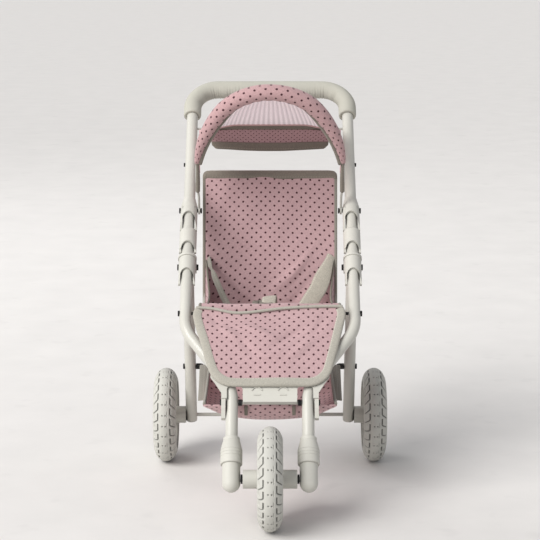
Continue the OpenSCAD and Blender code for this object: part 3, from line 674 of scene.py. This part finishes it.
def rear_band():
    """Piping and casing over the rear wire, and the flap with its hem."""
    xs = np.linspace(-ROOF_HALF, ROOF_HALF, 90)
    edge = np.array([roof_rear(x) for x in xs])
    piping = tube_mesh("roof_piping", edge + [0, 0, 0.5 * MM], 2.4 * MM, piping_pink,
                       "handle_frame", (0, 1, 0), 12)
    declare(piping)
    fall = ((0, 0), (-3, 2), (-7, 3.5), (-10.5, 3))
    places = np.array([edge + [0, back * MM, down * MM] for down, back in fall])
    casing = sheet_mesh("roof_casing", places, grid_uv(xs * MM, np.linspace(0, 0.011, 4)),
                        binding_dark_and_painted_shade, "handle_frame", 1.2)
    declare(casing)

    columns = np.linspace(-0.1, 0.1, FLAP_COLUMNS)
    places = flap_rows(np.linspace(0.0, 0.62, 12), 104, 100, 0)
    flap = sheet_mesh("canopy_flap_cloth", places, grid_uv(columns, np.linspace(0, 0.03, 12)),
                      dotted_fine, "handle_frame", 1.0)
    declare(flap)
    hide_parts("canopy_flap")
    places = flap_rows(np.linspace(0.60, 1.0, 6), 102, 99.5, -0.6)
    ends = ease(np.abs(np.linspace(-1, 1, FLAP_COLUMNS)), 0.93, 1.0)
    places[:, :, 2] += ends * np.linspace(0, 1, 6)[:, None] ** 2 * 6 * MM
    # The hem takes the dark binding: painted shade on the flap's shaded inner side.
    hem = sheet_mesh("canopy_flap_hem", places, grid_uv(columns, np.linspace(0, 0.011, 6)),
                     binding_dark_and_painted_shade, "handle_frame", 2.2)
    declare(hem)


rear_band()


def side_pockets():
    """Grey pockets at the canopy's lower corners, sewn round the hoop's legs."""
    for name, side in SIDES:
        down = np.linspace(0, 1, 24)
        path = [in_hoop(side * (118.6 - 0.6 * math.sin(3.1 * t)), 112 - 74 * t, -2) for t in down]
        width = 6.4 + 1.2 * ease(down, 0.35, 0.7)
        pocket = tube_mesh(f"canopy_pocket_{name}", path, width / 2 * MM, binding_dark_and_painted_shade,
                           "canopy_hoop", hoop_out, 14, flat=1.6)
        declare(pocket)


side_pockets()


SEAT_CLEAR_X = 114.3


def side_strips():
    """Pink side cloth inside the hoop's lower ends, narrow enough to pass beside the seat."""
    for name, side in SIDES:
        rows = []
        for t in np.linspace(0, 1, 26):
            y = 66 + 84 * t
            x = hoop_point(math.degrees(math.asin(min(max((y - SIDE_Y) / SIDE_R, 0), 1))))[0]
            inner = max(x - 2 - 9 * math.sin(math.pi * min(0.15 + t, 1)), SEAT_CLEAR_X)
            rows.append([in_hoop(side * ((x - 1) * (1 - k) + inner * k), y, -3 - 9 * k)
                         for k in np.linspace(0, 1, 6)])
        uv = grid_uv(np.linspace(0, 0.012, 6), np.linspace(0, 0.085, 26))
        # The side strips take the glowing side cloth: painted light through the thin cloth.
        strip = sheet_mesh(f"canopy_side_{name}", np.array(rows), uv, roof_side, "canopy_hoop",
                           0.8)
        declare(strip)


side_strips()


# ---------- seat ----------

# The seat's side view, (p, h) in mm: front edge, pan, crease and top
SEAT = [(172.6, 296), (173.4, 309), (180, 312), (352, 251), (400.6, 487)]
SEAT_BEND = np.array(SEAT[3])
SEAT_HALF = 108.6
BINDING_X = 110
# Soft creases of the seat: place across and along, slant and height
SEAT_CREASES = [(0.25, 0.60, 0.22, 3.0), (0.42, 0.53, 0.30, -2.6), (-0.45, 0.55, -0.25, 2.8),
                (-0.2, 0.70, -0.12, -2.0), (0.55, 0.68, 0.35, 2.2), (0.0, 0.50, 0.05, 2.0)]


def seat_line(count):
    """The seat's side view, (p, h) in mm, from the front edge to the top, round at the crease."""
    points = np.array([(p, 0, h) for p, h in SEAT], float)
    fine = resample(points, 240)
    for _ in range(30):
        fine[1:-1] = (fine[:-2] + 2 * fine[1:-1] + fine[2:]) / 4
    return resample(fine, count)[:, [0, 2]]


def seat_sag(u, t):
    """How far the seat cloth stands off its side line, u across and t along, in mm."""
    belly = 7.0 * math.sin(math.pi * min(max((t - 0.04) / 0.41, 0), 1))
    belly += 6.0 * math.sin(math.pi * max((t - 0.45) / 0.55, 0))
    wave = 1.3 * math.sin(u * 5 + t * 9) + 0.9 * math.sin(u * 11 - t * 23)
    crease = 3.0 * math.exp(-((t - 0.47) / 0.05) ** 2) * math.cos(u * 9)
    edge = 1 - u ** 2
    for u0, t0, slant, deep in SEAT_CREASES:
        away = ((t - t0) - slant * (u - u0)) / 0.022
        crease += 1.8 * deep * math.exp(-away ** 2) * math.exp(-((u - u0) / 0.3) ** 2)
    return -(belly * edge ** 0.8) + (wave + crease) * edge * 0.6 + 2.0


def seat_cloth():
    """The sling: one dotted cloth that sags between its side rods."""
    line = seat_line(90)
    tangent = unit(np.gradient(line, axis=0))
    inward = np.stack([-tangent[:, 1], tangent[:, 0]], axis=1)
    run = lengths(line) * MM
    total = run[-1]
    u = np.linspace(-1, 1, 61)
    places = np.zeros((len(line), len(u), 3))
    for i in range(len(line)):
        for j in range(len(u)):
            p, h = line[i] + inward[i] * seat_sag(u[j], run[i] / total)
            places[i, j] = at(SEAT_HALF * u[j], p, h)
    low = ((1 - ease(run / total, 0.5, 0.85)) * ease(run / total, 0.2, 0.45))[:, None]
    uv = np.stack([(u * SEAT_HALF * MM)[None, :] * (1 - 0.14 * low),
                   run[:, None] + 0.012 * (u ** 2)[None, :] * (0.4 + low)], axis=2)
    cloth = sheet_mesh("seat_cloth", places, uv, dotted, "front_frame", 1.6)
    declare(cloth)
    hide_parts("seat_fabric")
    for name, side in SIDES:
        edge = np.array([at(side * BINDING_X, p, h) for p, h in line])
        # Painted shade: both bindings are one tape, but the left is drawn with the dark binding and
        # the right with the darker copy of the grey binding, so the left looks shaded.
        tape = binding_dark_and_painted_shade if side < 0 else binding_painted_half_shade
        rim = tube_mesh(f"seat_binding_{name}", edge, 3.3 * MM, tape, "front_frame",
                        (1, 0, 0), 14, flat=0.9)
        declare(rim)


def seat_top_band():
    """The band that holds the seat's top to its rod."""
    top = rounded_u(110.5, 477, 493.5, 6, 120)
    back = np.array(SEAT[-1], float) - np.array(SEAT[-2], float)
    lean = back[0] / back[1]
    rows = []
    for down in np.linspace(0, 1, 9):
        row = []
        for q in top:
            drop = down * 13
            h = q[2] - drop * (1 if q[2] > 483 else 0.6)
            row.append(at(q[0], 403.1 + (h - 492.5) * lean - 3.2 * math.sin(down * math.pi), h))
        rows.append(row)
    uv = grid_uv(np.linspace(0, 0.24, len(top)), np.linspace(0, 0.012, 9))
    band = sheet_mesh("seat_top_band", np.array(rows), uv, binding_dark_and_painted_shade, "front_frame", 5.0)
    declare(band)


def seat_gussets():
    """Side cloths in the corner between the pan and the back, with bound edges."""
    up_back = np.array([0.2018, 0.979])
    along_pan = np.array([-0.956, 0.293])
    for name, side in SIDES:
        rows = []
        for t in np.linspace(0, 1, 22):
            back_at = SEAT_BEND + up_back * (8 + 92 * t)
            pan_at = SEAT_BEND + along_pan * (8 + 96 * t)
            row = []
            for k in np.linspace(0, 1, 18):
                spot = back_at * (1 - k) + pan_at * k
                sag = math.sin(math.pi * k)
                spot = spot + (SEAT_BEND - spot) * 0.34 * sag
                row.append(at(side * (107.5 - 7 * sag * (0.4 + 0.6 * t)), spot[0], spot[1]))
            rows.append(row)
        uv = grid_uv(np.linspace(0, 0.11, 18), np.linspace(0, 0.1, 22))
        gusset = sheet_mesh(f"seat_gusset_{name}", np.array(rows), uv, dotted, "front_frame", 1.4)
        declare(gusset)
        edge = tube_mesh(f"seat_gusset_edge_{name}", smooth_path(rows[-1], 40, 2), 1.8 * MM,
                         binding_dark_and_painted_shade, "front_frame", (1, 0, 0), 10)
        declare(edge)


seat_cloth()
seat_top_band()
seat_gussets()


# ---------- leg panel ----------

PANEL_ANGLE = math.radians(49.7)
PANEL_LEN = 139.0
PANEL_P, PANEL_H = 79.2, 203.7
LOW_CORNER_W, LOW_CORNER_H = 27.0, 26.0
TOP_CORNER_W, TOP_CORNER_H = 6.5, 12


def on_panel(x, v, out=0.0):
    """A place on the leg panel: v mm up it from its lower edge and out mm in front of it."""
    c, s = math.cos(PANEL_ANGLE), math.sin(PANEL_ANGLE)
    return at(x, PANEL_P + v * c - out * s, PANEL_H + v * s + out * c)


def panel_half(v):
    """Half the panel's width at height v, with its rounded corners."""
    side = 85 + 36 * (v / PANEL_LEN) ** 0.8
    t = min(max(1 - v / LOW_CORNER_H, 0), 1)
    cut = min(max((v - PANEL_LEN + TOP_CORNER_H) / TOP_CORNER_H, 0), 1)
    return side - LOW_CORNER_W * (1 - math.sqrt(1 - t * t)) - TOP_CORNER_W * cut ** 1.6


def panel_side(u, v):
    """The panel's edge on u's side: the left one is drawn out at the top and in at the bottom."""
    half = panel_half(v)
    if u < 0:
        half += 2.2 * float(ease(v, 60, 110)) - 1.2 * (1 - float(ease(v, 15, 50)))
    return half


# Creases of the panel: place (x, v), angle, half length and height
PANEL_CREASES = [(-62, 92, -38, 30, 2.6), (-40, 72, -52, 24, -2.2), (-18, 96, -30, 26, 2.0),
                 (30, 84, 35, 34, -2.2), (52, 66, 42, 28, 2.2), (0, 50, 8, 38, 1.6),
                 (78, 104, 60, 22, -1.8), (-84, 112, -60, 20, -1.8)]


def panel_bow(x, v):
    """How far the panel's cloth stands out at a place: a shallow belly with soft creases."""
    half = panel_side(x, max(v, 0)) + 1e-6
    edge = max(1 - (x / half) ** 2, 0)
    end = math.sin(math.pi * min(max(v / PANEL_LEN, 0), 1))
    soft = 0.9 * math.sin(x / 17 + v / 31) + 0.6 * math.sin(v / 9 + x / 40)
    for x0, v0, angle, long, deep in PANEL_CREASES:
        c, s = math.cos(math.radians(angle)), math.sin(math.radians(angle))
        run, off = (x - x0) * c + (v - v0) * s, (v - v0) * c - (x - x0) * s
        soft += 1.7 * deep * math.exp(-(run / long) ** 2) * math.exp(-(off / 6.5) ** 2)
    return 4.0 * edge * end + soft * edge ** 0.5


def top_edge(x):
    """Drop of the panel's top hem: it dips left of the middle and rises to the right."""
    low = math.exp(-((x + 50) / (34 if x < -50 else 60)) ** 2)
    return -3.0 - 10.5 * low + 2.0 * math.exp(-((x - 100) / 45) ** 2)


def panel_place(x, v, out):
    """A place on the panel with its upper part pulled down to the hem's line."""
    lift = v + top_edge(x) * float(ease(v, PANEL_LEN * 0.55, PANEL_LEN))
    return on_panel(x, lift, out)


def panel_cloth():
    """The leg panel's dotted cloth."""
    rows = []
    coords = []
    for v in np.linspace(1.0, PANEL_LEN, 44):
        xs = [u * (panel_side(u, v) - 2.5) for u in np.linspace(-1, 1, 57)]
        rows.append([panel_place(x, v, 1.2 + panel_bow(x, v)) for x in xs])
        coords.append([(x * MM, v * MM) for x in xs])
    cloth = sheet_mesh("leg_panel_cloth", np.array(rows), np.array(coords), dotted, "front_frame",
                       1.8)
    declare(cloth)
    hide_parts("leg_panel")


def panel_outline():
    """The panel's edge, down the left, along the bottom and up the right."""
    levels = np.concatenate([np.linspace(PANEL_LEN, 18, 40), np.linspace(17.2, 0.02, 30)])
    left = [(-panel_side(-1, v), 0, v) for v in levels]
    right = [(panel_side(1, v), 0, v) for v in levels[::-1]]
    bottom = [(x, 0, 0) for x in np.linspace(left[-1][0], right[0][0], 50)[1:-1]]
    return smooth_path(np.array(left + bottom + right), 200, 10)


# The binding's cross-section: distance in from the edge and out of the panel
BINDING_SECTION = [(0.6, -2.6), (-0.6, -1.0), (-0.7, 0.8), (0.2, 2.6), (2.2, 3.4), (6.0, 3.5),
                   (9.4, 3.3), (11.6, 3.0), (12.3, 2.0)]


def panel_edges():
    """The wide binding round the panel and the piped hem along its top."""
    outline = panel_outline()
    tangent = unit(np.gradient(outline, axis=0))
    inward = np.stack([-tangent[:, 2], 0 * tangent[:, 0], tangent[:, 0]], axis=1)
    rows = []
    for inset, out in BINDING_SECTION:
        row = []
        for x, _, v in outline + inward * inset:
            row.append(panel_place(x, v, out + (panel_bow(x, v) if inset > 1 else 0)))
        rows.append(row)
    run = lengths(outline) * MM
    uv = grid_uv(run, np.linspace(-0.003, 0.0125, len(BINDING_SECTION)))
    rim = sheet_mesh("leg_panel_binding", np.array(rows), uv, binding, "front_frame", 1.0)
    declare(rim)
    xs = np.linspace(-116, 114, 90)
    hem = [on_panel(x, PANEL_LEN + top_edge(x), 2.5 + 2.4 * (1 - (x / 121) ** 2)) for x in xs]
    piping = tube_mesh("leg_panel_hem", np.array(hem), 2.3 * MM, binding, "front_frame",
                       (0, -0.7, 0.7), 12, flat=1.1)
    declare(piping)


panel_cloth()
panel_edges()


# ---------- basket ----------

BASKET_LIFT = 21.0
BASKET_HALF = 102
BASKET_RIM_H = 172
# The basket's side view, (p, h) in mm, from its front edge to its rear edge
BASKET_PROFILE = [(88, 172), (92, 160), (101, 150), (118, 142), (150, 132), (205, 122),
                  (262, 119), (300, 121), (318, 134), (327, 152), (332, 174)]
basket_line = smooth_path([(p, 0, h) for p, h in BASKET_PROFILE], 60, 3)
basket_run = lengths(basket_line) * MM


def basket_low(h):
    """1 in the basket's lower part and 0 at its upper edges."""
    return min(max((BASKET_RIM_H - h) / 30, 0), 1)


def basket_sling():
    """The basket's bottom and ends: a cloth that rises towards its sides."""
    u = np.linspace(-1, 1, 49)
    places = np.zeros((len(basket_line), len(u), 3))
    for i, (p, _, h) in enumerate(basket_line):
        for j in range(len(u)):
            lift = BASKET_LIFT * basket_low(h) * abs(u[j]) ** 3
            wave = 1.4 * math.sin(u[j] * 7 + i * 0.35) * (1 - u[j] ** 2)
            places[i, j] = at(BASKET_HALF * u[j], p + wave, h + lift)
    uv = grid_uv(u * BASKET_HALF * MM, basket_run)
    # The sling takes the lighter, glowing basket cloth: painted light.
    sling = sheet_mesh("basket_sling", places, uv, dotted_low, None, 1.6)
    declare(sling)
    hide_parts("basket")
    return sling


def basket_side(name, side):
    """One side of the basket: its wall, the bound rim, the strap to the bolt and a front tab."""
    rows = []
    for t in np.linspace(0, 1, 14):
        row = []
        for p, _, h in basket_line[4:-1]:
            bottom = h + BASKET_LIFT * basket_low(h)
            top = BASKET_RIM_H - 7 * math.sin(math.pi * (p - 88) / 244)
            row.append(at(side * (BASKET_HALF + 1.5 * math.sin(math.pi * t)), p,
                          bottom + (max(top, bottom) - bottom) * t))
        rows.append(row)
    uv = grid_uv(basket_run[4:-1], np.linspace(0, 0.05, 14))
    # The wall takes the lighter, glowing basket cloth: painted light.
    wall = sheet_mesh(f"basket_side_{name}", np.array(rows), uv, dotted_low, None, 1.4)
    declare(wall)
    # The rim takes the darker copy of the grey binding: painted shade.
    rim = tube_mesh(f"basket_rim_{name}", rows[-1], 2.4 * MM, binding_painted_half_shade, None, (1, 0, 0), 12)
    declare(rim)
    drop = [at(side * (110.5 - 1.5 * t), 331 - 125 * t, 176 - 29 * t - 3 * math.sin(math.pi * t))
            for t in np.linspace(0, 1, 24)]
    # The strap takes the darker copy of the grey binding: painted shade.
    strap = ribbon(f"basket_strap_{name}", drop, (1, 0, 0), 14.5, binding_painted_half_shade, None, 2.0, 1.0)
    declare(strap)
    hang = [at(side * 37, 84 + 3 * t, 172 - 17 * t) for t in np.linspace(0, 1, 8)]
    tab = ribbon(f"basket_tab_{name}", hang, (1, 0, 0), 5.5, binding_dark_and_painted_shade, None, 1.4)
    declare(tab)
    return [wall, rim, strap, tab]


def basket():
    """The whole basket: its sling and both sides, carried by the front frame."""
    pieces = [basket_sling()]
    for name, side in SIDES:
        pieces += basket_side(name, side)
    for piece in pieces:
        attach(piece, "front_frame")
        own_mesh(piece)


basket()


# ---------- harness ----------

def harness():
    """Shoulder straps that run down to the pan, the left one twisted, and the crotch strap."""
    left = smooth_path([at(-104, 372, 350), at(-100, 360, 341), at(-93, 344, 326),
                        at(-80, 324, 300), at(-67, 306, 278), at(-46, 287, 277),
                        at(-19, 274, 286)], 70, 3)
    turn = np.linspace(0, 1, len(left))
    lean = np.array([(0.55 + 0.3 * t, -0.45 + 0.2 * t, 0.9 - 0.45 * t) for t in turn])
    wide = 12.5 - 7.5 * np.exp(-((turn - 0.15) / 0.05) ** 2)
    # The left strap takes the darker copy of the grey binding, unlike the right strap's webbing:
    # painted shade.
    strap = ribbon("harness_strap_left", left, lean, wide, binding_painted_half_shade, "front_frame", 1.6, 0.8)
    declare(strap)
    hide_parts("harness_left")
    right = smooth_path([at(103, 373, 355), at(95, 356, 338), at(80, 331, 306), at(58, 303, 278),
                         at(36, 287, 276), at(10, 274, 286)], 70, 3)
    lean = np.array([(0.85, -0.15 + 0.2 * t, -0.5 + 0.3 * t) for t in turn])
    wide = 15 + 14 * ease(turn, 0.02, 0.32) - 8 * ease(turn, 0.75, 1)
    strap = ribbon("harness_strap_right", right, lean, wide, webbing, "front_frame", 1.6, 1.6)
    declare(strap)
    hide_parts("harness_right")
    middle = smooth_path([at(2, 314, 265), at(1, 310, 280), at(0, 302, 296), at(-1, 291, 301),
                          at(-2, 281, 296), at(-3, 274, 287)], 40, 2)
    strap = ribbon("crotch_webbing", middle, (1, 0.12, 0.1), 24, webbing, "front_frame", 2.0, 1.2)
    declare(strap)
    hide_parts("crotch_strap")


def rounded_box(turn, half):
    """One coordinate of a box-like oval: turn is the cosine or sine of the angle round it."""
    return np.sign(turn) * np.abs(turn) ** 0.35 * half


def buckle():
    """Side-release buckle: a rounded body with its two prongs."""
    middle = at(-8, 277, 291)
    turn = np.linspace(0, 2 * math.pi, 40, endpoint=False)
    for name, shift, half_x, half_y in (("body", 0, 13, 9), ("prongs", -15, 6, 7)):
        x = rounded_box(np.cos(turn), half_x)
        y = rounded_box(np.sin(turn), half_y)
        rows = []
        for size, z in ((0.0, -3), (0.9, -3), (1.0, -2), (1.0, 2), (0.9, 3), (0.0, 3)):
            ring = [x * size + shift, y * size * 0.9, z + y * size * 0.4]
            rows.append(middle + np.stack(ring, axis=1) * MM)
        piece = sheet_mesh(f"buckle_{name}", np.array(rows), np.zeros((6, 40, 2)), buckle_plastic,
                           "front_frame", wrap=True, smooth=0)
        if name == "body":
            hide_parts("buckle")


buckle()
harness()


# ---------- camera, floor and light ----------

CAMERA_BACK, CAMERA_UP, CAMERA_DOWN_DEG, CAMERA_LENS = 2.6665, 0.9024, 10.665, 122.67
FLOOR_REACH = 30

camera = bpy.data.objects.new("camera", bpy.data.cameras.new("camera"))
bpy.context.scene.collection.objects.link(camera)
camera.data.sensor_width = 36
camera.data.lens = CAMERA_LENS
camera.data.dof.use_dof = False
camera.location = (0, axle[1] - CAMERA_BACK, CAMERA_UP)
camera.rotation_euler = (math.radians(90 - CAMERA_DOWN_DEG), 0, 0)
bpy.context.scene.camera = camera


def studio_floor():
    """A wide pale floor."""
    far = FLOOR_REACH
    corners = [(-far, -far, 0), (far, -far, 0), (far, far, 0), (-far, far, 0)]
    mesh = bpy.data.meshes.new("studio_floor")
    mesh.from_pydata(corners, [], [(0, 1, 2, 3)])
    mesh.materials.append(hard_material("studio_floor_surface", (0.75, 0.73, 0.71), 0.6, 40, 0.02,
                                        0.2, dirt=0.02))
    plane = bpy.data.objects.new("studio_floor", mesh)
    bpy.context.scene.collection.objects.link(plane)


def light(lamp, place, direction):
    """Put a lamp in the scene, shining in a direction."""
    holder = bpy.data.objects.new(lamp.name, lamp)
    holder.location = place
    holder.rotation_euler = Vector(direction).to_track_quat("-Z", "Y").to_euler()
    bpy.context.scene.collection.objects.link(holder)


studio_floor()
sun = bpy.data.lights.new("key_light", "SUN")
sun.energy = 3.3
sun.angle = math.radians(40)
sun.color = (1, 0.985, 0.96)
light(sun, (0, 0, 0), (0.74, 0.66, -0.68))
rim_light = bpy.data.lights.new("rim_light", "AREA")
rim_light.shape = "DISK"
rim_light.size = 1.8
rim_light.energy = 25
light(rim_light, (-1.6, 2.4, 2.6), (1.6, -2.4, -2.2))

world = bpy.data.worlds.new("studio")
bpy.context.scene.world = world
world.use_nodes = True
sky = world.node_tree.nodes["Background"]
sky.inputs["Color"].default_value = (0.95, 0.965, 1.0, 1)
sky.inputs["Strength"].default_value = 0.47
bpy.context.scene.view_settings.view_transform = "Standard"
